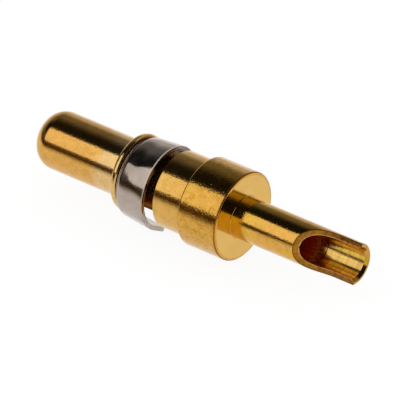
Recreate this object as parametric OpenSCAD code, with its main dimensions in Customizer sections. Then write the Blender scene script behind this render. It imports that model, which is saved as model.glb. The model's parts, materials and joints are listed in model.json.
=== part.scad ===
// Power contact for a D-subminiature connector.
// A turned pin with a milled solder cup carries a split spring clip in a groove.
// The axis lies along X: the pin points to -X, the solder cup to +X, and +Z is up.
// The origin is on the axis, in the shoulder's front face, which seats against the connector's insert.

/* [Mating pin] */
// Diameter of the mating pin
pin_d = 3.6; // [3:0.1:4.4]
// Length of the mating pin, from the flange to the tip of its nose
pin_len = 6.68; // [4:0.01:12]
// Radius that rounds the pin's side into its nose
nose_round = 1.2; // [0.6:0.05:1.4]
// Radius of the shallow dome that closes the nose
nose_dome = 2.7; // [2.4:0.1:6]

/* [Guide diameter and shoulder] */
// Diameter of the flange and of the sleeve, which guide the contact in its cavity
guide_d = 4.77; // [4.5:0.01:5.2]
// Thickness of the flange in front of the clip
flange_t = 0.4; // [0.3:0.02:1]
// Radius that rounds the flange's front corner
flange_round = 0.22; // [0.06:0.02:0.28]
// Length of the sleeve between the clip's groove and the shoulder
sleeve_len = 2.1; // [1.5:0.1:5]
// Diameter of the shoulder
shoulder_d = 5.48; // [5.3:0.02:7]
// Length of the shoulder
shoulder_len = 2.77; // [1.5:0.01:5]
// Width of the chamfers on the turned edges
edge_break = 0.06; // [0.02:0.01:0.1]
// Radius of the fillets at the foot of the pin and of the barrel
root_fillet = 0.1; // [0.04:0.01:0.2]

/* [Solder cup] */
// Diameter of the bore that takes the wire
bore_d = 1.9; // [1:0.05:2.4]
// Wall of the barrel around the bore
cup_wall = 0.33; // [0.2:0.01:0.5]
// Length of the barrel behind the shoulder
barrel_len = 8.2; // [7:0.05:12]
// Depth of the bore's full width, from the end of the barrel
bore_depth = 6; // [4.5:0.1:7]
// Included angle of the drill's point at the bottom of the bore
drill_point = 118; // [90:2:140]
// Length of the countersink in the bore's mouth
mouth_len = 0.2; // [0.05:0.01:0.4]
// Height by which the countersink opens the bore's mouth
mouth_flare = 0.12; // [0.02:0.01:0.12]
// Length of the milled opening on the barrel's surface
scoop_len = 3.74; // [2.8:0.02:5.5]
// Depth of the opening's floor below the axis
scoop_drop = 0.04; // [0:0.01:0.3]
// Radius of the cutter that leaves the curved end of the opening
scoop_runout = 3.05; // [2:0.05:6]
// Angle by which the opening faces up from -Y
scoop_turn = 18; // [-90:1:90]

/* [Retention clip] */
// Length of the clip along its axis
clip_len = 2.13; // [1.6:0.01:4]
// Thickness of the clip's sheet
clip_wall = 0.3; // [0.15:0.01:0.35]
// Inside radius of the bend between the clip's lip and its skirt
clip_bend = 0.5; // [0.35:0.05:0.6]
// Slope of the bend at the lip's fold, off the axis
clip_fold = 45; // [40:1:55]
// Height of the skirt's front above the guide diameter
clip_stand = 0.11; // [0:0.01:0.3]
// Angle by which the skirt flares towards the shoulder
clip_flare = 5; // [0:0.1:8]
// Length of the clip's straight ends, which leave the slit between them
clip_tail = 1.03; // [0.4:0.01:1.3]
// Angle by which the slit is turned from straight down towards +Y
slit_turn = 13; // [-180:1:180]

/* [Clip in its groove] */
// Depth of the groove below the guide diameter
groove_depth = 0.655; // [0.6:0.005:0.8]
// Radius of the fillets at the groove's floor
groove_fillet = 0.06; // [0.02:0.01:0.06]
// Radial play of the clip's lip on the groove
clip_play = 0.205; // [0.1:0.005:0.24]
// End play of the clip between the flange and the sleeve
clip_end_play = 0.65; // [0.4:0.01:1.2]
// Angle by which the hanging clip leans back
clip_lean = 0.75; // [0:0.25:4]
// Gap between the hanging clip and the groove's floor and front wall
clip_gap = 0.03; // [0.02:0.005:0.06]

/* [Hidden] */
$fn = 96;

// Radii of the body
pin_r = pin_d / 2;
guide_r = guide_d / 2;
groove_r = guide_r - groove_depth;
shoulder_r = shoulder_d / 2;
bore_r = bore_d / 2;
barrel_r = bore_r + cup_wall;

// Stations along the axis, from the pin's tip to the end of the cup
groove_len = clip_len + clip_end_play;
sleeve_front = -sleeve_len;
groove_front = sleeve_front - groove_len;
flange_front = groove_front - flange_t;
tip = flange_front - pin_len;
cup_end = shoulder_len + barrel_len;

// The nose's dome meets its round where both have the same normal, at this angle off the axis
nose_angle = asin((pin_r - nose_round) / (nose_dome - nose_round));
nose_end = tip + nose_dome - (nose_dome - nose_round) * cos(nose_angle);

// The milling cutter starts on the barrel's surface and reaches the opening's floor at scoop_floor
scoop_rise = barrel_r + scoop_drop;
scoop_floor = cup_end - scoop_len + sqrt(pow(scoop_runout, 2) - pow(scoop_runout - scoop_rise, 2));
drill_tip = bore_r / tan(drill_point / 2);

// Section of the clip, from its front face at 0 to its flared rear edge
lip_r = groove_r + clip_play;
bend_outer = clip_bend + clip_wall;
bend_x = bend_outer * sin(clip_fold);
bend_r = guide_r + clip_stand - bend_outer * cos(clip_flare);
fold_r = bend_r + bend_outer * cos(clip_fold);
skirt_len = (clip_len - bend_x + bend_outer * sin(clip_flare)) / cos(clip_flare);

// The clip hangs by its lip on top of the groove, and leans against the flange at the bottom
clip_sag = clip_play - clip_gap - clip_wall * sin(clip_lean);
clip_x = groove_front + clip_gap + fold_r * sin(clip_lean);

gold = [0.83, 0.62, 0.28];
silver = [0.68, 0.65, 0.62];

// Turns a half section, radius by station, about the X axis
module turned(angle = 360) {
    rotate([0, 90, 0])
        rotate_extrude(angle = angle)
            children();
}

// Half section of the nose: a dome that runs into a rounded corner
module nose_section() {
    dome_reach = nose_dome * tan(nose_angle);
    translate([0, tip + nose_dome])
        intersection() {
            circle(nose_dome);
            polygon([[0, 0], [0, -nose_dome], [dome_reach, -nose_dome]]);
        }
    intersection() {
        translate([pin_r - nose_round, nose_end])
            circle(nose_round);
        translate([0, tip])
            square([pin_r, nose_end - tip]);
    }
}

// Half section of the stepped body, from the nose's end to the end of the barrel
module step_section() {
    polygon([
        [0, nose_end],
        [pin_r, nose_end],
        [pin_r, flange_front],
        [guide_r - flange_round, flange_front],
        [guide_r, flange_front + flange_round],
        [guide_r, groove_front - edge_break],
        [guide_r - edge_break, groove_front],
        [groove_r, groove_front],
        [groove_r, sleeve_front],
        [guide_r - edge_break, sleeve_front],
        [guide_r, sleeve_front + edge_break],
        [guide_r, 0],
        [shoulder_r - edge_break, 0],
        [shoulder_r, edge_break],
        [shoulder_r, shoulder_len - edge_break],
        [shoulder_r - edge_break, shoulder_len],
        [barrel_r, shoulder_len],
        [barrel_r, cup_end - edge_break],
        [barrel_r - edge_break, cup_end],
        [0, cup_end]
    ]);
    translate([guide_r - flange_round, flange_front + flange_round])
        circle(flange_round);
}

// Half section of a fillet, in the corner between a wall and the face in front of it
module fillet_section(radius) {
    difference() {
        square(radius);
        translate([radius, radius])
            circle(radius);
    }
}

// Half section of the fillets in the inside corners of the body
module corner_section() {
    translate([pin_r, flange_front])
        mirror([0, 1])
            fillet_section(root_fillet);
    translate([groove_r, groove_front])
        fillet_section(groove_fillet);
    translate([groove_r, sleeve_front])
        mirror([0, 1])
            fillet_section(groove_fillet);
    translate([barrel_r, shoulder_len])
        fillet_section(root_fillet);
}

// The drilled bore, with the drill's point at its bottom and a countersunk mouth
module wire_bore() {
    mouth_slope = mouth_flare / mouth_len;
    translate([cup_end - bore_depth, 0, 0])
        rotate([0, 90, 0]) {
            cylinder(h = bore_depth, r = bore_r);
            translate([0, 0, -drill_tip])
                cylinder(h = drill_tip, r1 = 0, r2 = bore_r);
            translate([0, 0, bore_depth - mouth_len])
                cylinder(h = 2 * mouth_len, r1 = bore_r, r2 = bore_r + 2 * mouth_len * mouth_slope);
        }
}

// The cutter's path: it dips into the barrel on its own radius and runs out at the end
module scoop_cut() {
    rotate([90 - scoop_turn, 0, 0])
        rotate([90, 0, 0])
            linear_extrude(height = 3 * barrel_r, center = true) {
                translate([scoop_floor, scoop_runout - scoop_drop])
                    circle(scoop_runout);
                translate([scoop_floor, -scoop_drop])
                    square([barrel_len, scoop_runout]);
            }
}

// Half section of the clip: lip, bend and flared skirt
module clip_section() {
    reach = 2 * bend_outer;
    translate([lip_r, 0])
        square([fold_r - lip_r, clip_wall]);
    translate([bend_r, bend_x]) {
        intersection() {
            difference() {
                circle(bend_outer);
                circle(clip_bend);
            }
            polygon([
                [0, 0],
                [reach * cos(clip_fold), -reach * sin(clip_fold)],
                [reach * cos(clip_flare), -reach * sin(clip_flare)]
            ]);
        }
        rotate(-clip_flare)
            translate([clip_bend, 0])
                square([clip_wall, skirt_len]);
    }
}

// The turned contact, from the nose of the pin to the open solder cup
module contact_body() {
    color(gold)
        difference() {
            turned() {
                nose_section();
                step_section();
                corner_section();
            }
            wire_bore();
            scoop_cut();
        }
}

// Straight end of the clip, which runs on from its round part
module clip_end() {
    rotate([0, 90, 0])
        rotate([90, 0, 0])
            linear_extrude(height = clip_tail)
                clip_section();
}

// The split ring: round over three quarters of a turn, with a straight end on both sides of the slit
module clip_ring() {
    turned(270)
        clip_section();
    clip_end();
    rotate([270, 0, 0])
        translate([0, clip_tail, 0])
            clip_end();
}

// The clip as it hangs in its groove, with its slit at the bottom
module retention_clip() {
    color(silver)
        translate([clip_x, 0, -clip_sag])
            rotate([0, clip_lean, 0])
                rotate([slit_turn + 45, 0, 0])
                    clip_ring();
}

contact_body();
retention_clip();
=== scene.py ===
"""Looks of a d-sub power contact: a gold-plated turned pin with a solder cup, and a bright spring clip."""
import json
import math

import bmesh
import bpy
from mathutils import Matrix, Vector


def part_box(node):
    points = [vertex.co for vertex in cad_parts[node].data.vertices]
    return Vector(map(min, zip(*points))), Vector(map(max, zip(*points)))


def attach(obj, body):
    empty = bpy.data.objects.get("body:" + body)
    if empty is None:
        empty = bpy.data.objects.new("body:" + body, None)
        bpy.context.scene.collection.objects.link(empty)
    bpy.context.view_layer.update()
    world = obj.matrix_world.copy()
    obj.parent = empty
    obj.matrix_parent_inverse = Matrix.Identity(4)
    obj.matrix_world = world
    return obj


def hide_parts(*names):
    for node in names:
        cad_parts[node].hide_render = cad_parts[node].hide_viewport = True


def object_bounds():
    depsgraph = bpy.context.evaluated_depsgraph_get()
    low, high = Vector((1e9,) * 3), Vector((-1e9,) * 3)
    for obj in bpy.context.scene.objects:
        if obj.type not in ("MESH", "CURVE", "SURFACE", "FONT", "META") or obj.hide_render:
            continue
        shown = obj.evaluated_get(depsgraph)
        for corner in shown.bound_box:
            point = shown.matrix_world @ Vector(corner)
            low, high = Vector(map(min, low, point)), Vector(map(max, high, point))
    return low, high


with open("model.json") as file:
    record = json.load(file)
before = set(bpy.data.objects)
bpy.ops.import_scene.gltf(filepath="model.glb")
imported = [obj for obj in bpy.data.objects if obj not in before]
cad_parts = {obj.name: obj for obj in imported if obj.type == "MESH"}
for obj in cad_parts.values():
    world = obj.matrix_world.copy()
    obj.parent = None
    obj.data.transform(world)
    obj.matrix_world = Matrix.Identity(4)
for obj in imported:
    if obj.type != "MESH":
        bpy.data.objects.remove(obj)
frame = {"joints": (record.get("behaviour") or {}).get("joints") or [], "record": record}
cad_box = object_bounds()

# Sizes are in millimetres, and the scene is in metres
MM = 0.001

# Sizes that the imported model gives
mounts = {mount["name"]: mount for mount in frame["record"]["mounts"]}
clip_joint = frame["joints"][0]
body_low, body_high = (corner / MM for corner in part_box("contact_body"))
TIP = body_low.x
CUP_END = body_high.x
SHOULDER_R = body_high.y
FLOOR_Z = cad_box[0].z / MM
PIN_R = mounts["contact_pin"]["dims"]["r_mm"]
BORE_R = mounts["solder_cup"]["dims"]["r_mm"]
BORE_STRAIGHT = mounts["solder_cup"]["dims"]["length_mm"]
CLIP_PIVOT = Vector(clip_joint["pos_m"]) / MM
CLIP_LEAN = -math.asin(clip_joint["axis"][2])

# The turned body
PIN_LEN = 6.68
NOSE_ROUND = 1.2
NOSE_DOME = 2.7
FLANGE_T = 0.4
FLANGE_ROUND = 0.22
GUIDE_R = 2.385
GROOVE_R = 1.73
SLEEVE_LEN = 2.1
SHOULDER_LEN = 2.77
FLANGE_FRONT = TIP + PIN_LEN
GROOVE_FRONT = FLANGE_FRONT + FLANGE_T

# Edges and corners of the turned body
EDGE_BREAK = 0.06
EDGE_ROUND = 0.015
SHOULDER_ROUND = 0.1
ROOT_FILLET = 0.1
BARREL_FILLET = 0.04
GROOVE_FILLET = 0.06

# The shoulder's rear rim rolls off a little, just outside its flat face
RIM_DROP = 0.035
RIM_WIDTH = 0.16
RIM_ROUND = 0.1
RIM_MARGIN = 0.03
FACE_R = SHOULDER_R - RIM_WIDTH - RIM_MARGIN

# The solder cup
BARREL_R = 1.28
DRILL_HALF = math.radians(59)
SCOOP_LEN = 3.74
SCOOP_DROP = 0.04
SCOOP_RUNOUT = 3.05
SCOOP_TURN = math.radians(18)
MOUTH_LEN = 0.2
MOUTH_FLARE = 0.12
MOUTH = CUP_END - MOUTH_LEN
SCOOP_START = CUP_END - SCOOP_LEN
SCOOP_FLOOR = SCOOP_START + math.sqrt(SCOOP_RUNOUT**2 - (SCOOP_RUNOUT - BARREL_R - SCOOP_DROP) ** 2)

# Rounding of the opening's lips, and the largest share of a width that it takes up
LIP_ROUND = 0.03
LIP_SHARE = 0.3
# Place of the support rows on a lip's flat, as a share of the lip's width
LIP_SUPPORT = 0.1

# The clip's sheet
CLIP_LEN = 2.13
CLIP_WALL = 0.3
CLIP_LIP_R = 1.935
CLIP_STAND = 0.11
CLIP_FLARE = math.radians(5)
CLIP_CROWN = 0.01
CLIP_TAIL = 1.03
CLIP_ROUND_PART = math.radians(270)
SLIT_TURN = math.radians(13)

# The bend between the clip's lip and its skirt, which is folded tighter on the outside
CLIP_BEND = 0.5
CLIP_BEND_OUTER = CLIP_BEND + CLIP_WALL
CLIP_FOLD = math.radians(45)
CLIP_FOLD_ROUND = 0.45
CLIP_FOLD_X = CLIP_FOLD_ROUND * math.sin(CLIP_FOLD)
CLIP_BEND_X = CLIP_BEND_OUTER * math.sin(CLIP_FOLD)
CLIP_BEND_R = GUIDE_R + CLIP_STAND - CLIP_BEND_OUTER * math.cos(CLIP_FLARE)
CLIP_SKIRT = (CLIP_LEN - CLIP_BEND_X + CLIP_BEND_OUTER * math.sin(CLIP_FLARE)) / math.cos(CLIP_FLARE)
CLIP_REAR_R = GUIDE_R + CLIP_STAND + CLIP_SKIRT * math.sin(CLIP_FLARE)

# Roundings of the sheet's edges and of the lip's outer and inner corner, and the smallest one drawn
SHEET_ROUND = 0.05
LIP_CORNER = 0.05
LIP_CREASE = 0.02
LEAST_ROUND = 0.002

# Steps of the meshes
AROUND = 160
DOME_STEPS = 14
NOSE_STEPS = 30
CORNER_STEPS = 6
CUP_STEPS = 56
FOLD_STEPS = 16
BEND_STEPS = 12
SKIRT_STEPS = 8
TAIL_STEPS = 8
# Steps of the fold that the lip's rounded corner takes up
FOLD_CORNER = 4
# Power by which the cup's slices crowd towards the start of its opening
CUP_CROWDING = 1.5
# Distance of the support points beside a rounded corner
SUPPORT = 0.012
# Points closer than the first distance are welded, and edges shorter than the second are taken out
WELD = 1e-4
SLIVER = 1e-5

# Materials of the contact, by their place in its list
TURNED, FACED, MILLED, BORED = range(4)


def arc(centre, radius, start, end, steps):
    """Points along an arc in a half section, as (station, radius); angles in degrees from the axis's +X."""
    angles = [math.radians(start + (end - start) * i / steps) for i in range(steps + 1)]
    return [(centre[0] + radius * math.cos(a), centre[1] + radius * math.sin(a)) for a in angles]


def rounded(corners):
    """A path through (station, radius, rounding) corners, each an arc between close support points."""
    path = [Vector(corners[0][:2])]
    for before, (x, r, rounding), after in zip(corners, corners[1:], corners[2:]):
        here = Vector((x, r))
        to_before = Vector(before[:2]) - here
        to_after = Vector(after[:2]) - here
        half = to_before.angle(to_after) / 2
        reach = rounding / math.tan(half)
        to_before.normalize()
        to_after.normalize()
        centre = here + (to_before + to_after).normalized() * rounding / math.sin(half)
        start = here + to_before * reach - centre
        end = here + to_after * reach - centre
        path.append(centre + start + to_before * SUPPORT)
        for step in range(CORNER_STEPS + 1):
            path.append(centre + start.slerp(end, step / CORNER_STEPS) * rounding)
        path.append(centre + end + to_after * SUPPORT)
    path.append(Vector(corners[-1][:2]))
    return [tuple(point) for point in path]


def nose_outline():
    """Half section of the pin's nose, from its tip to its straight wall."""
    blend = math.degrees(math.asin((PIN_R - NOSE_ROUND) / (NOSE_DOME - NOSE_ROUND)))
    dome_centre = TIP + NOSE_DOME
    round_centre = dome_centre - (NOSE_DOME - NOSE_ROUND) * math.cos(math.radians(blend))
    dome = arc((dome_centre, 0), NOSE_DOME, 180, 180 - blend, DOME_STEPS)
    corner = arc((round_centre, PIN_R - NOSE_ROUND), NOSE_ROUND, 180 - blend, 90, NOSE_STEPS)
    return dome + corner[1:] + [(round_centre + SUPPORT, PIN_R)]


def step_outline(start):
    """Half section of the stepped body, from the pin's straight wall to the shoulder's rear edge."""
    return rounded([
        (start, PIN_R, 0),
        (FLANGE_FRONT, PIN_R, ROOT_FILLET),
        (FLANGE_FRONT, GUIDE_R, FLANGE_ROUND),
        (GROOVE_FRONT - EDGE_BREAK, GUIDE_R, EDGE_ROUND),
        (GROOVE_FRONT, GUIDE_R - EDGE_BREAK, EDGE_ROUND),
        (GROOVE_FRONT, GROOVE_R, GROOVE_FILLET),
        (-SLEEVE_LEN, GROOVE_R, GROOVE_FILLET),
        (-SLEEVE_LEN, GUIDE_R - EDGE_BREAK, EDGE_ROUND),
        (-SLEEVE_LEN + EDGE_BREAK, GUIDE_R, EDGE_ROUND),
        (0, GUIDE_R, EDGE_ROUND),
        (0, SHOULDER_R, SHOULDER_ROUND),
        (SHOULDER_LEN - RIM_DROP, SHOULDER_R, SHOULDER_ROUND),
        (SHOULDER_LEN, SHOULDER_R - RIM_WIDTH, RIM_ROUND),
        (SHOULDER_LEN, FACE_R, 0),
    ])


def face_outline():
    """Half section of the shoulder's rear face."""
    return [(SHOULDER_LEN, FACE_R), (SHOULDER_LEN, BARREL_R + 2 * BARREL_FILLET)]


def barrel_outline():
    """Half section of the barrel, from its foot on the shoulder to the start of the cup's opening."""
    return rounded([
        (SHOULDER_LEN, BARREL_R + 2 * BARREL_FILLET, 0),
        (SHOULDER_LEN, BARREL_R, BARREL_FILLET),
        (SCOOP_START, BARREL_R, 0),
    ])


def bore_outline(end):
    """Half section of the bore, from the drill's point to the place where the opening breaks into it."""
    bottom = MOUTH - BORE_STRAIGHT
    point = bottom - BORE_R / math.tan(DRILL_HALF)
    return rounded([(point, 0, 0), (bottom, BORE_R, EDGE_ROUND), (end, BORE_R, 0)])


# Directions across the axis: the cup's opening faces one of them
OPENING = Vector((0, -math.cos(SCOOP_TURN), math.sin(SCOOP_TURN)))
SIDEWAYS = Vector((1, 0, 0)).cross(OPENING)


def across(x, height, side):
    """The point at a station, a height towards the cup's opening and a distance to its side."""
    return Vector((x, 0, 0)) + OPENING * height + SIDEWAYS * side


def ring(x, radius, start=0.0):
    """Points round the axis, from one side of the opening to the other; start is half its angle."""
    angles = [start + (2 * math.pi - 2 * start) * i / AROUND for i in range(AROUND + 1)]
    return [across(x, radius * math.cos(a), radius * math.sin(a)) for a in angles]


def cut_height(x):
    """Height of the milled cut at a station."""
    if x >= SCOOP_FLOOR:
        return -SCOOP_DROP
    return SCOOP_RUNOUT - SCOOP_DROP - math.sqrt(SCOOP_RUNOUT**2 - (x - SCOOP_FLOOR) ** 2)


def half_angle(height, radius):
    """Half the angle that a cut at this height opens in a circle."""
    return math.acos(max(-1.0, min(1.0, height / radius)))


def eased(first, corner, last):
    """A short curve that rounds a corner."""
    shares = [i / CORNER_STEPS for i in range(CORNER_STEPS + 1)]
    return [first * (1 - t) ** 2 + corner * 2 * t * (1 - t) + last * t * t for t in shares]


def lip(x, height, inner, outer, side):
    """One lip of the opening in a slice: outer corner, flat, inner corner, and where its circles start."""
    outer_angle, inner_angle = half_angle(height, outer), half_angle(height, inner)
    outer_w = outer * math.sin(outer_angle)
    inner_w = inner * math.sin(inner_angle)
    width = outer_w - inner_w
    outer_break = min(LIP_ROUND, LIP_SHARE * width)
    inner_break = min(LIP_ROUND, LIP_SHARE * width, LIP_SHARE * inner_w)
    outer_start = outer_angle + outer_break / outer
    inner_start = inner_angle + inner_break / inner

    def on_circle(radius, angle):
        """The point of a circle at an angle from the opening's middle."""
        return across(x, radius * math.cos(angle), side * radius * math.sin(angle))

    def on_flat(distance):
        """The point of the flat at a distance from the opening's middle."""
        return across(x, height, side * distance)

    flat = [on_flat(distance) for distance in (
        outer_w - outer_break,
        outer_w - outer_break - LIP_SUPPORT * width,
        inner_w + inner_break + LIP_SUPPORT * width,
        inner_w + inner_break,
    )]
    outer_corner = eased(on_circle(outer, outer_start), on_flat(outer_w), flat[0])
    inner_corner = eased(flat[-1], on_flat(inner_w), on_circle(inner, inner_start))
    return outer_corner, flat, inner_corner, outer_start, inner_start


class Shell:
    """Gathers quads between rows of points, and makes one mesh object of them."""

    def __init__(self):
        self.mesh = bmesh.new()

    def loft(self, rows, material):
        """Joins each row of points to the next."""
        made = [[self.mesh.verts.new(point) for point in row] for row in rows]
        for first, second in zip(made, made[1:]):
            for i in range(len(first) - 1):
                face = self.mesh.faces.new((first[i], first[i + 1], second[i + 1], second[i]))
                face.material_index = material

    def cap(self, points, material):
        """Closes an end with one flat face."""
        face = self.mesh.faces.new([self.mesh.verts.new(point) for point in points])
        face.material_index = material

    def finish(self, name, body, node, materials):
        """Welds the rows, turns the faces outwards and puts the piece in place of its node."""
        bmesh.ops.remove_doubles(self.mesh, verts=self.mesh.verts, dist=WELD)
        bmesh.ops.dissolve_degenerate(self.mesh, dist=SLIVER, edges=self.mesh.edges)
        bmesh.ops.recalc_face_normals(self.mesh, faces=self.mesh.faces)
        bmesh.ops.scale(self.mesh, vec=(MM, MM, MM), verts=self.mesh.verts)
        for face in self.mesh.faces:
            face.smooth = True
        data = bpy.data.meshes.new(name)
        self.mesh.to_mesh(data)
        self.mesh.free()
        for material in materials:
            data.materials.append(material)
        piece = bpy.data.objects.new(name, data)
        bpy.context.scene.collection.objects.link(piece)
        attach(piece, body)
        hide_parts(node)


def cup_slices():
    """Slices along the cup's opening, as (station, inset): close at its start, chamfered at its end."""
    reach = MOUTH - SUPPORT - SCOOP_START
    for i in range(CUP_STEPS + 1):
        yield SCOOP_START + reach * (i / CUP_STEPS) ** CUP_CROWDING, 0.0
    chamfer = CUP_END - EDGE_BREAK
    for x in (MOUTH, MOUTH + SUPPORT, chamfer - 2 * SUPPORT, chamfer - SUPPORT / 2):
        yield x, 0.0
    yield chamfer + SUPPORT / 2, SUPPORT / 2
    yield CUP_END - SUPPORT / 2, EDGE_BREAK - SUPPORT / 2
    yield CUP_END, EDGE_BREAK + SUPPORT / 2


def mouth_radius(x):
    """Radius of the bore at a station, with the countersink in its mouth."""
    return BORE_R + MOUTH_FLARE * max(0.0, 1 - (CUP_END - x) / MOUTH_LEN)


def break_in():
    """Station where the opening's floor breaks into the bore."""
    drop = SCOOP_RUNOUT - SCOOP_DROP - BORE_R
    return SCOOP_FLOOR - math.sqrt(SCOOP_RUNOUT**2 - drop**2)


def make_contact(materials):
    """The turned contact: a lathe from the nose to the opening, slices of the open cup, and the bore."""
    shell = Shell()
    nose = nose_outline()
    opened = break_in()
    lathe = [
        (nose + step_outline(nose[-1][0])[1:], TURNED),
        (face_outline(), FACED),
        (barrel_outline(), TURNED),
        (bore_outline(opened), BORED),
    ]
    for outline, material in lathe:
        shell.loft([ring(x, r) for x, r in outline], material)

    outer_rows, bore_rows, mouth_rows = [], [], []
    lips = {side: ([], [], []) for side in (1, -1)}
    for x, inset in sorted(set(cup_slices()) | {(opened, 0.0)}):
        outer, inner, height = BARREL_R - inset, mouth_radius(x), cut_height(x)
        for side, (outer_corners, flats, inner_corners) in lips.items():
            outer_corner, flat, inner_corner, outer_start, inner_start = lip(x, height, inner, outer, side)
            outer_corners.append(outer_corner)
            flats.append(flat)
            if x >= opened:
                inner_corners.append(inner_corner)
        outer_rows.append(ring(x, outer, outer_start))
        if opened <= x <= MOUTH:
            bore_rows.append(ring(x, inner, inner_start))
        if x >= MOUTH:
            mouth_rows.append(ring(x, inner, inner_start))
    shell.loft(outer_rows, TURNED)
    shell.loft(bore_rows, BORED)
    shell.loft(mouth_rows, TURNED)
    shell.loft([outer_rows[-1], mouth_rows[-1]], TURNED)
    for parts in lips.values():
        for rows in parts:
            shell.loft(rows, MILLED)
        outer_corner, flat, inner_corner = (rows[-1] for rows in parts)
        shell.cap(outer_corner + flat[1:] + inner_corner[1:], TURNED)
    shell.finish("contact_body_finish", "contact", "contact_body", materials)


def clip_outline(inset):
    """Closed section of the clip's sheet, as (station, radius) from its front face, drawn in by inset."""
    bend_centre = Vector((CLIP_BEND_X, CLIP_BEND_R))
    along = Vector((math.cos(CLIP_FLARE), math.sin(CLIP_FLARE)))
    outward = Vector((-math.sin(CLIP_FLARE), math.cos(CLIP_FLARE)))
    raised = bend_centre + outward * (CLIP_BEND_OUTER - CLIP_FOLD_ROUND)
    fold_centre = raised + along * (CLIP_FOLD_X - raised.x) / along.x
    fold_r, bend_r = CLIP_FOLD_ROUND - inset, CLIP_BEND + inset
    front, back, foot = inset, CLIP_WALL - inset, CLIP_LIP_R + inset
    skirt = CLIP_SKIRT - inset
    rear_outer = bend_centre + outward * (CLIP_BEND_OUTER - inset) + along * skirt
    rear_inner = bend_centre + outward * bend_r + along * skirt

    # The fold and the bend end where they meet the lip's faces and the skirt, which is a little crowned
    square_on = 90 + math.degrees(CLIP_FLARE)
    fold_end = 90 + math.degrees(math.asin((CLIP_FOLD_X - front) / fold_r))
    bend_end = 90 + math.degrees(math.asin((CLIP_BEND_X - back) / bend_r))
    crown_slope = math.degrees(math.atan(4 * CLIP_CROWN / skirt))
    fold = arc(fold_centre, fold_r, fold_end, square_on + crown_slope, FOLD_STEPS)
    bend = arc(bend_centre, bend_r, square_on, bend_end, BEND_STEPS)

    skirt_front = Vector(fold[-1])
    shares = [i / SKIRT_STEPS for i in range(1, SKIRT_STEPS)]
    crowned = [skirt_front.lerp(rear_outer, t) + outward * 4 * CLIP_CROWN * t * (1 - t) for t in shares]
    rounding = max(SHEET_ROUND - inset, LEAST_ROUND)
    rear = rounded([(*crowned[-1], 0), (*rear_outer, rounding), (*rear_inner, rounding), (*bend[0], 0)])
    lip_path = rounded([
        (*bend[-2], 0),
        (*bend[-1], LIP_CREASE),
        (back, foot, rounding),
        (front, foot, rounding),
        (*fold[0], LIP_CORNER),
        (*fold[FOLD_CORNER], 0),
    ])
    outer_side = fold[FOLD_CORNER:] + [tuple(point) for point in crowned]
    return outer_side + rear[1:-1] + bend[:-1] + lip_path[1:-1]


def make_clip(materials):
    """The split ring of bright sheet: a round part with a straight end on both sides of the slit."""
    shell = Shell()
    first = SLIT_TURN + (2 * math.pi - CLIP_ROUND_PART) / 2
    last = first + CLIP_ROUND_PART
    turns = [math.pi / 2 * i / CORNER_STEPS for i in range(CORNER_STEPS)]
    ends = [(SHEET_ROUND * (1 - math.cos(turn)), SHEET_ROUND * (1 - math.sin(turn))) for turn in turns]
    shares = [i / TAIL_STEPS for i in range(TAIL_STEPS + 1)]
    tail = ends + [(SHEET_ROUND + (CLIP_TAIL - SHEET_ROUND) * t, 0.0) for t in shares]
    rows = [(first, drawn - CLIP_TAIL, inset) for drawn, inset in tail]
    rows += [(first + CLIP_ROUND_PART * i / AROUND, 0.0, 0.0) for i in range(1, AROUND)]
    rows += [(last, CLIP_TAIL - drawn, inset) for drawn, inset in reversed(tail)]
    place = Matrix.Translation(CLIP_PIVOT) @ Matrix.Rotation(CLIP_LEAN, 4, "Y")
    lofted = []
    for angle, shift, inset in rows:
        out = Vector((0, math.sin(angle), -math.cos(angle)))
        onward = Vector((0, math.cos(angle), math.sin(angle)))
        section = clip_outline(inset)
        section.append(section[0])
        lofted.append([place @ (Vector((x, 0, 0)) + out * r + onward * shift) for x, r in section])
    shell.loft(lofted, 0)
    shell.cap(lofted[0][:-1], 0)
    shell.cap(lofted[-1][:-1], 0)
    shell.finish("retention_clip_finish", "clip", "retention_clip", materials)


def add(tree, kind, inputs=None, **settings):
    """Adds a node; inputs are values, or sockets to link from, by the input's name or number."""
    node = tree.nodes.new(kind)
    for name, value in settings.items():
        setattr(node, name, value)
    for key, value in (inputs or {}).items():
        if isinstance(value, bpy.types.NodeSocket):
            tree.links.new(value, node.inputs[key])
        else:
            node.inputs[key].default_value = value
    return node


def math_node(tree, operation, first, second=0.0):
    """The result of a sum on one or two values."""
    return add(tree, "ShaderNodeMath", {0: first, 1: second}, operation=operation).outputs[0]


def product(tree, *factors):
    """The product of several values."""
    result = factors[0]
    for factor in factors[1:]:
        result = math_node(tree, "MULTIPLY", result, factor)
    return result


def vector_node(tree, operation, first, second):
    """The result of a sum on two vectors or colours."""
    return add(tree, "ShaderNodeVectorMath", {0: first, 1: second}, operation=operation).outputs[0]


def scaled(tree, vector, factor):
    """A vector or colour times a number."""
    return add(tree, "ShaderNodeVectorMath", {0: vector, "Scale": factor}, operation="SCALE").outputs[0]


def stretch(tree, value, low, high, to_low=0.0, to_high=1.0):
    """Maps a value from one range to another, held at the ends."""
    inputs = {0: value, 1: low, 2: high, 3: to_low, 4: to_high}
    return add(tree, "ShaderNodeMapRange", inputs, clamp=True).outputs[0]


# Half the width of the soft border round a patch of finish
BORDER = 0.01


def past(tree, value, edge):
    """1 where a value lies past an edge, and 0 short of it."""
    return stretch(tree, value, edge - BORDER, edge + BORDER)


def short_of(tree, value, edge):
    """1 where a value lies short of an edge, and 0 past it."""
    return stretch(tree, value, edge + BORDER, edge - BORDER)


def shaded(tree, patch, factor):
    """A factor of 1 that turns to another inside a patch."""
    return stretch(tree, patch, 0.0, 1.0, 1.0, factor)


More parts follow.
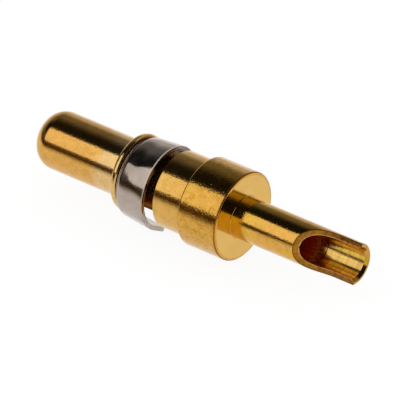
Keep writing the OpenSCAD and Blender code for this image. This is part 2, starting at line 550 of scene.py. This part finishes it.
def ramp(tree, value, stops):
    """A colour ramp through (place, colour) stops."""
    node = add(tree, "ShaderNodeValToRGB", {0: value})
    elements = node.color_ramp.elements
    while len(elements) < len(stops):
        elements.new(0.5)
    for element, (place, colour) in zip(elements, stops):
        element.position = place
        element.color = (*colour, 1)
    return node.outputs[0]


def grey(level):
    """A grey of this level."""
    return (level, level, level)


def linear(*srgb):
    """Scene-linear colour of an 8-bit sRGB one."""
    shares = [value / 255 for value in srgb]
    return tuple(v / 12.92 if v <= 0.04045 else ((v + 0.055) / 1.055) ** 2.4 for v in shares)


def tones(tree, value, stops):
    """A colour ramp through (place, sRGB colour) stops."""
    return ramp(tree, value, [(place, linear(*colour)) for place, colour in stops])


def tinted(tree, tone, patch, tint):
    """A tone that is multiplied by a tint inside a patch."""
    return vector_node(tree, "MULTIPLY", tone, ramp(tree, patch, [(0.0, grey(1.0)), (1.0, tint)]))


def mix(tree, share, first, second):
    """A colour between two others."""
    return add(tree, "ShaderNodeMix", {0: share, 6: first, 7: second}, data_type="RGBA").outputs[2]


def new_material(name):
    """An empty node material, its tree and its output."""
    material = bpy.data.materials.new(name)
    material.use_nodes = True
    tree = material.node_tree
    tree.nodes.clear()
    return material, tree, add(tree, "ShaderNodeOutputMaterial")


def place_in_mm(tree):
    """Place on a piece, in millimetres."""
    return scaled(tree, add(tree, "ShaderNodeTexCoord").outputs["Object"], 1 / MM)


def noise(tree, place, per_mm, detail=2.0, roughness=0.5):
    """Noise with this many features per millimetre."""
    inputs = {"Vector": place, "Scale": per_mm, "Detail": detail, "Roughness": roughness}
    return add(tree, "ShaderNodeTexNoise", inputs).outputs["Fac"]


def streaks(tree, place, per_mm, detail=2.0):
    """Noise with its own number of features per millimetre along X, Y and Z."""
    return noise(tree, vector_node(tree, "MULTIPLY", place, per_mm), 1.0, detail)


# Values between which most of a noise lies
NOISE_LOW = 0.3
NOISE_HIGH = 0.7


def varied(tree, pattern, low, high):
    """A noise that is mapped to a range of values."""
    return stretch(tree, pattern, NOISE_LOW, NOISE_HIGH, low, high)


def along_axis(tree, place):
    """Station along the axis, distance from it and height above it, in millimetres."""
    parts = add(tree, "ShaderNodeSeparateXYZ", {0: place}).outputs
    flat = vector_node(tree, "MULTIPLY", place, (0, 1, 1))
    radius = add(tree, "ShaderNodeVectorMath", {0: flat}, operation="LENGTH").outputs["Value"]
    return parts[0], radius, parts[2]


def heights(tree, *layers):
    """Sum of (pattern, height in millimetres) layers."""
    total = 0.0
    for pattern, height in layers:
        total = math_node(tree, "ADD", total, product(tree, pattern, height))
    return total


def metal(name, paint):
    """A metal; its painter gives its tone, roughness, relief in millimetres and share of bare metal."""
    material, tree, output = new_material(name)
    look = paint(tree, place_in_mm(tree))
    bump = add(tree, "ShaderNodeBump", {"Strength": 1.0, "Distance": MM, "Height": look["relief"]})
    shader = add(tree, "ShaderNodeBsdfPrincipled", {
        "Base Color": look["tone"],
        "Metallic": look.get("bare", 1.0),
        "Roughness": look["rough"],
        "Normal": bump.outputs[0],
    })
    tree.links.new(shader.outputs[0], output.inputs[0])
    return material


# Tone of the turned plating, from the pin's tip at 0 to the end of the cup at 1
TURNED_TONES = (
    (0.00, (212, 160, 80)),
    (0.21, (212, 160, 80)),
    (0.24, (218, 180, 121)),
    (0.42, (215, 170, 94)),
    (0.54, (209, 159, 71)),
    (0.64, (209, 159, 71)),
    (0.70, (213, 162, 76)),
)
# Distance along the axis by which these tones wander
TONE_WANDER = 0.6

# How specked and uneven each part of the turned plating is
PIN_WEAR = 0.5
GUIDE_WEAR = 0.75
GROOVE_WEAR = 0.3
SHOULDER_WEAR = 1.0
BARREL_WEAR = 0.65
TURNED_WEAR = (
    (FLANGE_FRONT - ROOT_FILLET, PIN_WEAR),
    (FLANGE_FRONT, GUIDE_WEAR),
    (GROOVE_FRONT - 2 * BORDER, GUIDE_WEAR),
    (GROOVE_FRONT, GROOVE_WEAR),
    (-SLEEVE_LEN, GROOVE_WEAR),
    (-SLEEVE_LEN + 2 * BORDER, GUIDE_WEAR),
    (0.0, GUIDE_WEAR),
    (SHOULDER_ROUND, SHOULDER_WEAR),
    (SHOULDER_LEN, SHOULDER_WEAR),
    (SHOULDER_LEN + ROOT_FILLET, BARREL_WEAR),
)

# Values of a noise between which its specks, pits and stains go from none to full
SPECKS = (0.67, 0.77)
PITS = (0.56, 0.72)
STAINS = (0.5, 0.68)
# Share by which the specks are darker where the wear is full
SPECK_DEPTH = 0.34
# The stains are brown, and on the shoulder alone
STAIN_TINT = (0.78, 0.66, 0.48)
# The shoulder's rear edge is darkened to a copper brown by painted shade, this far along its side and down
# its face
REAR_EDGE = SHOULDER_LEN - RIM_DROP - 0.085
REAR_EDGE_R = SHOULDER_R - 0.055
REAR_EDGE_SHADE = (0.5, 0.34, 0.25)
REAR_EDGE_DULL = 0.14
# The shoulder's front edge is darkened by painted shade below, which clears between two heights
FRONT_EDGE = 0.07
FRONT_EDGE_R = SHOULDER_R - 0.085
FRONT_EDGE_CLEARS = (1.6, 0.8)
FRONT_EDGE_SHADE = 0.45
# Painted shade in the corner between the sleeve and the shoulder
CORNER = 0.065
CORNER_R = GUIDE_R + 0.09
CORNER_SHADE = 0.4
# The countersunk mouth of the bore is a little darker, a painted shade
MOUTH_SHADE = 0.8
# The groove is tinted darker and redder, and duller towards the flange
GROOVE_TINT = (0.92, 0.74, 0.56)
GROOVE_DULL = (0.06, 0.03)
GROOVE_CLEARS = (GROOVE_FRONT + 0.5, GROOVE_FRONT + 1.5)
# A painted reflection: the barrel's foot is tinted a richer yellow for its mirror image in the shoulder's
# face, and this fades along the barrel
FOOT_REFLECTION_TINT = (1.03, 1.12, 0.72)
FOOT_FADES = (SHOULDER_LEN + 2.2, SHOULDER_LEN + 0.5)


def along_share(station):
    """Place of a station between the pin's tip and the end of the cup, from 0 to 1."""
    return (station - TIP) / (CUP_END - TIP)


def turned_shade(tree, mm, wear):
    """Brightness of the turned plating: mottled and grainy with dark specks, and painted shade at edges,
    corner and mouth.
    """
    x, r, z = along_axis(tree, mm)
    mottle = varied(tree, noise(tree, mm, per_mm=2.2, detail=4.0), low=0.9, high=1.08)
    grain = varied(tree, noise(tree, mm, per_mm=8.0, detail=3.0), low=0.9, high=1.07)
    specks = stretch(tree, noise(tree, mm, per_mm=5.0, detail=1.0), *SPECKS, to_high=SPECK_DEPTH)
    clear = math_node(tree, "SUBTRACT", 1.0, product(tree, specks, wear))
    # Painted shade in the corner by the sleeve, on the shoulder's front edge below, and at the mouth
    from_corner = math_node(tree, "ABSOLUTE", x)
    corner = product(tree, short_of(tree, from_corner, CORNER), short_of(tree, r, CORNER_R))
    below = stretch(tree, z, *FRONT_EDGE_CLEARS)
    front_edge = product(tree, short_of(tree, x, FRONT_EDGE), past(tree, r, FRONT_EDGE_R), below)
    return product(
        tree,
        mottle,
        grain,
        clear,
        shaded(tree, corner, CORNER_SHADE),
        shaded(tree, front_edge, FRONT_EDGE_SHADE),
        shaded(tree, past(tree, x, MOUTH), MOUTH_SHADE),
    )


def turned_gold(tree, mm):
    """Plating on the turned surfaces: its tone drifts along the part, with fine grain, painted shade on its
    edges and a painted reflection tint at the barrel's foot.
    """
    x, r, _ = along_axis(tree, mm)
    wander = varied(tree, noise(tree, mm, per_mm=0.5), -TONE_WANDER, TONE_WANDER)
    tone = tones(tree, stretch(tree, math_node(tree, "ADD", x, wander), TIP, CUP_END), TURNED_TONES)
    wear_stops = [(along_share(station), grey(level)) for station, level in TURNED_WEAR]
    wear = ramp(tree, stretch(tree, x, TIP, CUP_END), wear_stops)
    blotches = stretch(tree, noise(tree, mm, per_mm=3.0, detail=5.0, roughness=0.65), *STAINS)
    stains = product(tree, blotches, stretch(tree, wear, GUIDE_WEAR, SHOULDER_WEAR))
    rear_edge = product(tree, past(tree, x, REAR_EDGE), past(tree, r, REAR_EDGE_R))
    groove = product(
        tree,
        past(tree, x, GROOVE_FRONT - 2 * BORDER),
        short_of(tree, x, -SLEEVE_LEN + 2 * BORDER),
        short_of(tree, r, GUIDE_R - EDGE_BREAK),
    )
    foot = product(tree, past(tree, x, SHOULDER_LEN + 1.5 * BARREL_FILLET), stretch(tree, x, *FOOT_FADES))
    tone = tinted(tree, tone, stains, STAIN_TINT)
    # Painted shade on the shoulder's rear edge, tinted copper brown
    tone = tinted(tree, tone, rear_edge, REAR_EDGE_SHADE)
    tone = tinted(tree, tone, groove, GROOVE_TINT)
    # Painted reflection: a richer yellow at the barrel's foot, for its mirror image in the shoulder's face
    tone = tinted(tree, tone, foot, FOOT_REFLECTION_TINT)
    tone = scaled(tree, tone, turned_shade(tree, mm, wear))
    relief = heights(
        tree,
        (noise(tree, mm, per_mm=7.0, detail=1.0), 0.005),
        (noise(tree, mm, per_mm=22.0, detail=1.0), 0.0015),
        (stretch(tree, noise(tree, mm, per_mm=9.0, detail=1.0), *PITS), -0.0025),
        (streaks(tree, mm, (30.0, 0.6, 0.6)), 0.0004),
    )
    groove_dull = product(tree, groove, stretch(tree, x, *GROOVE_CLEARS, *GROOVE_DULL))
    dull = math_node(tree, "ADD", groove_dull, product(tree, rear_edge, REAR_EDGE_DULL))
    return {
        "tone": tone,
        "rough": varied(tree, noise(tree, mm, per_mm=3.0, detail=4.0), low=0.10, high=0.15),
        "relief": product(tree, relief, wear),
        "bare": math_node(tree, "SUBTRACT", 1.0, dull),
    }


FACED_TONES = ((NOISE_LOW, (214, 171, 90)), (NOISE_HIGH, (224, 179, 94)))


def faced_gold(tree, mm):
    """Plating on the shoulder's faced rear: paler and smoother, with faint rings of the tool."""
    _, r, _ = along_axis(tree, mm)
    rings = noise(tree, add(tree, "ShaderNodeCombineXYZ", {0: r}).outputs[0], per_mm=14.0, detail=1.0)
    return {
        "tone": tones(tree, noise(tree, mm, per_mm=0.8, detail=3.0), FACED_TONES),
        "rough": varied(tree, noise(tree, mm, per_mm=3.0, detail=3.0), low=0.07, high=0.11),
        "relief": heights(tree, (rings, 0.0008), (noise(tree, mm, per_mm=9.0, detail=1.0), 0.0006)),
    }


# Tone of the milled lips, from the bore at 0 to the barrel's surface at 1, with a painted highlight at the
# inner edge and painted shade at the outer one
MILLED_TONES = (
    (0.0, (222, 172, 118)),
    (0.11, (200, 150, 94)),
    (0.22, (170, 114, 54)),
    (0.78, (164, 108, 48)),
    (0.9, (124, 83, 30)),
    (1.0, (104, 68, 22)),
)


def milled_gold(tree, mm):
    """Plating on the cup's milled lips: brown and rough, with painted shade on the outer edge and a painted
    highlight on the inner one.
    """
    _, r, _ = along_axis(tree, mm)
    # The tone ramp paints a highlight at the inner edge and shade at the outer one
    tone = tones(tree, stretch(tree, r, BORE_R, BARREL_R), MILLED_TONES)
    shade = varied(tree, noise(tree, mm, per_mm=4.0, detail=4.0), low=0.62, high=1.25)
    cutter_marks = streaks(tree, mm, (16.0, 3.0, 3.0), detail=3.0)
    return {
        "tone": scaled(tree, tone, shade),
        "rough": varied(tree, noise(tree, mm, per_mm=4.0, detail=3.0), low=0.24, high=0.34),
        "relief": heights(tree, (cutter_marks, 0.005), (noise(tree, mm, per_mm=14.0), 0.002)),
    }


# Tone of the bore, from the plating near its mouth at 0 to the bare copper in its depth at 1
BORED_TONES = (
    (0.0, (220, 178, 96)),
    (0.4, (200, 116, 40)),
    (0.8, (168, 42, 12)),
    (1.0, (160, 34, 10)),
)
# Stations between which the plating thins out, and how far scratches carry it along
BORE_THINS = (8.35, 7.15)
SCRATCH_REACH = 0.25
# Values between which the bore's rings and scratches show
FINE_LOW = 0.35
FINE_HIGH = 0.65
# Slope by which the bore widens towards its mouth, in its shading
BORE_TAPER = 0.09
# Share of the depth from which the copper is dull, and the share of bare metal that it keeps
COPPER_STARTS = 0.3
COPPER_BARE = 0.3


def bored_gold(tree, mm):
    """Plating in the bore: rings of the drill, lengthwise scratches, and reddish copper in its depth."""
    x, _, _ = along_axis(tree, mm)
    ribs = streaks(tree, mm, (6.0, 0.4, 0.4), detail=1.0)
    scratches = streaks(tree, mm, (0.3, 9.0, 9.0))
    carried = math_node(tree, "ADD", x, varied(tree, scratches, -SCRATCH_REACH, SCRATCH_REACH))
    depth = stretch(tree, carried, *BORE_THINS)
    rib_shade = stretch(tree, ribs, FINE_LOW, FINE_HIGH, 0.84, 1.05)
    scratch_shade = stretch(tree, scratches, FINE_LOW, FINE_HIGH, 0.8, 1.1)
    return {
        "tone": scaled(tree, tones(tree, depth, BORED_TONES), product(tree, rib_shade, scratch_shade)),
        "rough": varied(tree, noise(tree, mm, per_mm=4.0, detail=3.0), low=0.14, high=0.22),
        "relief": heights(tree, (ribs, 0.006), (scratches, 0.003), (x, -BORE_TAPER)),
        "bare": stretch(tree, depth, COPPER_STARTS, 1.0, 1.0, COPPER_BARE),
    }


NICKEL_TONES = ((NOISE_LOW, (168, 153, 141)), (NOISE_HIGH, (178, 163, 151)))
# Values of a noise between which its dark marks go from none to full
MARKS = (0.7, 0.8)
MARK_SHADE = 0.75
# The sheared rear edge has a painted highlight outside and painted shade inside, in the clip's upper part
UPPER_PART = (0.2, 1.4)
SHEARED = CLIP_LEN - 0.05
SHEARED_R = CLIP_REAR_R - 0.07
RIM = CLIP_LEN - 0.02
RIM_R = CLIP_REAR_R - 0.06
RIM_SHADE = 0.5
# The fold in front has a painted highlight too, which clears along the sheet
FOLD_CLEARS = (0.2, 0.04)
FOLD_R = 2.3
# Brightness of the painted highlights on the edges, and the share of bare metal that they keep
HIGHLIGHT_GAIN = 1.15
HIGHLIGHT_BARE = 0.3
# The waves of forming are on the skirt alone, and fade out at the bottom
WAVE_HEIGHT = 0.1
WAVE_SHIFT = (15.4, 2.0, 8.0)
WAVE_STARTS_R = (2.42, 2.48)
WAVE_FADES = (-2.0, -1.2)


def nickel_sheet(tree, mm):
    """Bright rolled sheet, slightly wavy from forming, with a faint grain, and painted highlights and shade
    at its edges.
    """
    x, r, z = along_axis(tree, vector_node(tree, "ADD", mm, -CLIP_PIVOT))
    # Painted highlights on the rear edge and the fold, and painted shade inside the rear rim, in the upper
    # part
    upper = stretch(tree, z, *UPPER_PART)
    sheared = product(tree, past(tree, x, SHEARED), past(tree, r, SHEARED_R), upper)
    fold = product(tree, stretch(tree, x, *FOLD_CLEARS), past(tree, r, FOLD_R))
    pale = math_node(tree, "MAXIMUM", sheared, fold)
    rim = product(tree, past(tree, x, RIM), short_of(tree, r, RIM_R), upper)
    tone = tones(tree, noise(tree, mm, per_mm=1.2, detail=3.0), NICKEL_TONES)
    shade = product(
        tree,
        varied(tree, streaks(tree, mm, (1.5, 9.0, 9.0), detail=3.0), low=0.94, high=1.04),
        stretch(tree, noise(tree, mm, per_mm=4.0, detail=1.0), *MARKS, 1.0, MARK_SHADE),
        shaded(tree, pale, HIGHLIGHT_GAIN),
        shaded(tree, rim, RIM_SHADE),
    )
    on_skirt = product(tree, stretch(tree, r, *WAVE_STARTS_R), stretch(tree, z, *WAVE_FADES))
    waves = noise(tree, vector_node(tree, "ADD", mm, WAVE_SHIFT), per_mm=0.9, detail=0.0)
    waves = product(tree, waves, on_skirt)
    return {
        "tone": scaled(tree, tone, shade),
        "rough": varied(tree, noise(tree, mm, per_mm=4.0, detail=3.0), low=0.11, high=0.16),
        "relief": heights(tree, (waves, WAVE_HEIGHT), (noise(tree, mm, per_mm=6.0), 0.0016)),
        "bare": shaded(tree, pale, HIGHLIGHT_BARE),
    }


# The camera stands where the photograph was taken from
CAMERA_AZIMUTH = math.radians(37.86)
CAMERA_ELEVATION = math.radians(32.82)
CAMERA_DISTANCE = 310.0
CAMERA_CLIP = (10.0, 10000.0)
PIXELS_PER_MM = 17.2323
IMAGE_SIDE = 400
SENSOR = 36.0
# Place of the origin in the photograph, in its pixels
ORIGIN_PIXEL = (205.51, 200.85)


def face_along(thing, direction):
    """Turns a camera or a lamp to look along a direction."""
    thing.rotation_mode = "QUATERNION"
    thing.rotation_quaternion = direction.to_track_quat("-Z", "Y")


def make_camera():
    """A long lens with the photograph's framing."""
    a, e = CAMERA_AZIMUTH, CAMERA_ELEVATION
    back = Vector((math.sin(a) * math.cos(e), -math.cos(a) * math.cos(e), math.sin(e)))
    right = Vector((math.cos(a), math.sin(a), 0))
    up = back.cross(right)
    aside = right * (IMAGE_SIDE / 2 - ORIGIN_PIXEL[0]) + up * (ORIGIN_PIXEL[1] - IMAGE_SIDE / 2)
    data = bpy.data.cameras.new("camera")
    data.sensor_width = SENSOR
    data.lens = SENSOR * PIXELS_PER_MM * CAMERA_DISTANCE / IMAGE_SIDE
    data.clip_start, data.clip_end = (distance * MM for distance in CAMERA_CLIP)
    camera = bpy.data.objects.new("camera", data)
    camera.location = (back * CAMERA_DISTANCE + aside / PIXELS_PER_MM) * MM
    face_along(camera, -back)
    bpy.context.scene.collection.objects.link(camera)
    bpy.context.scene.camera = camera


def make_plane(name, corners, material):
    """A flat stage piece through four corners in millimetres."""
    data = bpy.data.meshes.new(name)
    data.from_pydata([Vector(corner) * MM for corner in corners], [], [(0, 1, 2, 3)])
    data.materials.append(material)
    plane = bpy.data.objects.new(name, data)
    bpy.context.scene.collection.objects.link(plane)
    return plane


def show_to_metal(plane):
    """Leaves a stage piece to the metal's reflections alone."""
    plane.visible_camera = False
    plane.visible_diffuse = False
    plane.visible_shadow = False


FLOOR_SIDE = 2000.0
FLOOR_PAINT = 0.95
# Share of plain white in what the camera sees of the floor; the rest takes the shadow
FLOOR_WHITE = 0.92


def make_floor():
    """A white floor just under the contact."""
    material, tree, output = new_material("white_floor")
    rays = add(tree, "ShaderNodeLightPath").outputs
    seen = math_node(tree, "MAXIMUM", rays["Is Camera Ray"], rays["Is Glossy Ray"])
    seen = math_node(tree, "MAXIMUM", seen, rays["Is Transmission Ray"])
    paint = add(tree, "ShaderNodeBsdfDiffuse", {"Color": (*grey(FLOOR_PAINT), 1)}).outputs[0]
    white = add(tree, "ShaderNodeEmission", {"Strength": 1.0}).outputs[0]
    share = product(tree, seen, FLOOR_WHITE)
    mixed = add(tree, "ShaderNodeMixShader", {0: share, 1: paint, 2: white}).outputs[0]
    tree.links.new(mixed, output.inputs[0])
    half = FLOOR_SIDE / 2
    signs = ((-1, -1), (1, -1), (1, 1), (-1, 1))
    make_plane("floor", [(half * x, half * y, FLOOR_Z) for x, y in signs], material)


# A rising sheet in front of the contact darkens to brown, and draws the line under the light's reflection
CARD_NEAR = -8.0
CARD_FAR = -30.0
CARD_TOP = 1.5
CARD_LEFT = -75.0
CARD_RIGHT = 4.0
# Tone of the sheet, from its near edge at 0 to its far edge at 1
CARD_TONES = (
    (0.0, grey(0.95)),
    (0.1, grey(0.9)),
    (0.26, (0.54, 0.54, 0.5)),
    (0.42, (0.26, 0.24, 0.2)),
    (0.6, (0.1, 0.05, 0.005)),
    (0.8, (0.07, 0.02, 0.0)),
)


def make_card():
    """A low sheet in front of the contact, out of the camera's view."""
    material, tree, output = new_material("brown_card")
    y = add(tree, "ShaderNodeSeparateXYZ", {0: place_in_mm(tree)}).outputs[1]
    tone = ramp(tree, stretch(tree, y, CARD_NEAR, CARD_FAR), CARD_TONES)
    paint = add(tree, "ShaderNodeBsdfDiffuse", {"Color": tone})
    tree.links.new(paint.outputs[0], output.inputs[0])
    show_to_metal(make_plane("front_card", [
        (CARD_LEFT, CARD_NEAR, FLOOR_Z),
        (CARD_RIGHT, CARD_NEAR, FLOOR_Z),
        (CARD_RIGHT, CARD_FAR, CARD_TOP),
        (CARD_LEFT, CARD_FAR, CARD_TOP),
    ], material))


# The softbox stands to the left of the camera and leans over the contact; its angles are seen from the axis
LIGHT_LOW = math.radians(15)
LIGHT_HIGH = math.radians(67)
LIGHT_TILT = math.radians(40)
LIGHT_DISTANCE = 300.0
LIGHT_LEFT = -315.0
LIGHT_RIGHT = 90.0
LIGHT_RADIANCE = 1.0


def make_light():
    """One large softbox in front of the contact."""
    back = Vector((0, -math.cos(LIGHT_TILT), math.sin(LIGHT_TILT)))
    up = Vector((0, math.sin(LIGHT_TILT), math.cos(LIGHT_TILT)))
    low = LIGHT_DISTANCE * math.tan(LIGHT_LOW - LIGHT_TILT)
    high = LIGHT_DISTANCE * math.tan(LIGHT_HIGH - LIGHT_TILT)
    aside = Vector(((LIGHT_LEFT + LIGHT_RIGHT) / 2, 0, 0))
    data = bpy.data.lights.new("softbox", "AREA")
    data.shape = "RECTANGLE"
    data.size = (LIGHT_RIGHT - LIGHT_LEFT) * MM
    data.size_y = (high - low) * MM
    data.energy = LIGHT_RADIANCE * math.pi * data.size * data.size_y
    light = bpy.data.objects.new("softbox", data)
    light.location = (back * LIGHT_DISTANCE + up * (low + high) / 2 + aside) * MM
    face_along(light, -back)
    light.visible_camera = False
    bpy.context.scene.collection.objects.link(light)


# A warm desk reaches in from the right, along the floor and up to the horizon
DESK_TONE = (1.0, 1.02, 0.56)
DESK_CORNER = (4.6, -2.0)
DESK_REACH = 200.0
DESK_RISE = 0.05


def make_desk():
    """The part of the desk that lies on the floor, out of the camera's view."""
    material, tree, output = new_material("warm_desk")
    glow = add(tree, "ShaderNodeEmission", {"Color": (*DESK_TONE, 1), "Strength": 1.0}).outputs[0]
    tree.links.new(glow, output.inputs[0])
    x, y = DESK_CORNER
    z = FLOOR_Z + DESK_RISE
    far_x, far_y = x + DESK_REACH, y - DESK_REACH
    corners = [(x, far_y, z), (far_x, far_y, z), (far_x, y, z), (x, y, z)]
    show_to_metal(make_plane("desk", corners, material))


# Light of the room's parts by height, from the horizon at 0 to overhead at 1
DARK = grey(0.012)
WALL_LIGHT = (
    (0.0, grey(0.58)),
    (0.11, grey(0.70)),
    (0.14, grey(0.70)),
    (0.31, grey(0.21)),
    (0.46, grey(0.18)),
    (0.62, DARK),
)
GLOW_LIGHT = (
    (0.0, (0.06, 0.02, 0.0)),
    (0.05, (0.09, 0.05, 0.01)),
    (0.09, (0.16, 0.14, 0.11)),
    (0.17, grey(0.26)),
    (0.56, grey(0.26)),
    (0.63, DARK),
)
WINDOW_LIGHT = (
    (0.0, (0.16, 0.16, 0.08)),
    (0.1, (0.2, 0.2, 0.1)),
    (0.22, (0.6, 0.6, 0.3)),
    (0.5, (0.56, 0.56, 0.28)),
    (0.65, DARK),
)
DESK_LIGHT = ((0.0, DESK_TONE), (0.18, DESK_TONE), (0.24, DARK))

# Borders of the room's parts, each from where a part starts to where it is full
# Depth runs from -1 in front of the contact to 1 behind it, and side from -1 on the left to 1 on the right
WALL_DEPTH = (-0.55, 0.2)
GLOW_DEPTH = (-0.36, -0.56)
GLOW_SIDE = (0.15, -0.1)
WINDOW_DEPTH = (-0.2, 0.1)
RIGHT_SIDE = (0.15, 0.4)
FAR_RIGHT_SIDE = (0.57, 0.64)
# A dark gap to the left of the softbox, half as dark near the horizon
GAP_SIDE = (-0.57, -0.63)
GAP_DEPTH = (0.4, 0.0)
GAP_HEIGHT = (0.2, 0.35)
GAP_SHARE = (0.5, 1.0)


def make_room():
    """A dark room: a pale wall low behind the contact, a glow by the softbox and a window to the right."""
    world = bpy.data.worlds.new("studio")
    world.use_nodes = True
    bpy.context.scene.world = world
    tree = world.node_tree
    tree.nodes.clear()
    direction = add(tree, "ShaderNodeTexCoord").outputs["Generated"]
    side, away, up = add(tree, "ShaderNodeSeparateXYZ", {0: direction}).outputs
    elevation = math_node(tree, "ARCSINE", up)
    height = stretch(tree, elevation, 0.0, math.pi / 2)
    depth = math_node(tree, "DIVIDE", away, math_node(tree, "COSINE", elevation))
    dark = (*DARK, 1)

    in_glow = product(tree, stretch(tree, depth, *GLOW_DEPTH), stretch(tree, side, *GLOW_SIDE))
    front = mix(tree, in_glow, dark, ramp(tree, height, GLOW_LIGHT))
    room = mix(tree, stretch(tree, depth, *WALL_DEPTH), front, ramp(tree, height, WALL_LIGHT))
    in_gap = product(
        tree,
        stretch(tree, side, *GAP_SIDE),
        stretch(tree, depth, *GAP_DEPTH),
        stretch(tree, height, *GAP_HEIGHT, *GAP_SHARE),
    )
    room = mix(tree, in_gap, room, dark)
    at_window = stretch(tree, depth, *WINDOW_DEPTH)
    right = mix(tree, at_window, ramp(tree, height, DESK_LIGHT), ramp(tree, height, WINDOW_LIGHT))
    room = mix(tree, stretch(tree, side, *RIGHT_SIDE), room, right)
    room = mix(tree, stretch(tree, side, *FAR_RIGHT_SIDE), room, dark)

    # The floor and all dull surfaces get plain even light
    even = add(tree, "ShaderNodeLightPath").outputs["Is Diffuse Ray"]
    lit = mix(tree, even, room, (*grey(1.0), 1))
    background = add(tree, "ShaderNodeBackground", {"Color": lit, "Strength": 1.0}).outputs[0]
    tree.links.new(background, add(tree, "ShaderNodeOutputWorld").inputs[0])


make_contact([
    metal("gold_turned", turned_gold),
    metal("gold_faced", faced_gold),
    metal("gold_milled", milled_gold),
    metal("gold_bored", bored_gold),
])
make_clip([metal("nickel_sheet", nickel_sheet)])
make_camera()
make_floor()
make_card()
make_light()
make_desk()
make_room()
bpy.context.scene.view_settings.view_transform = "Standard"
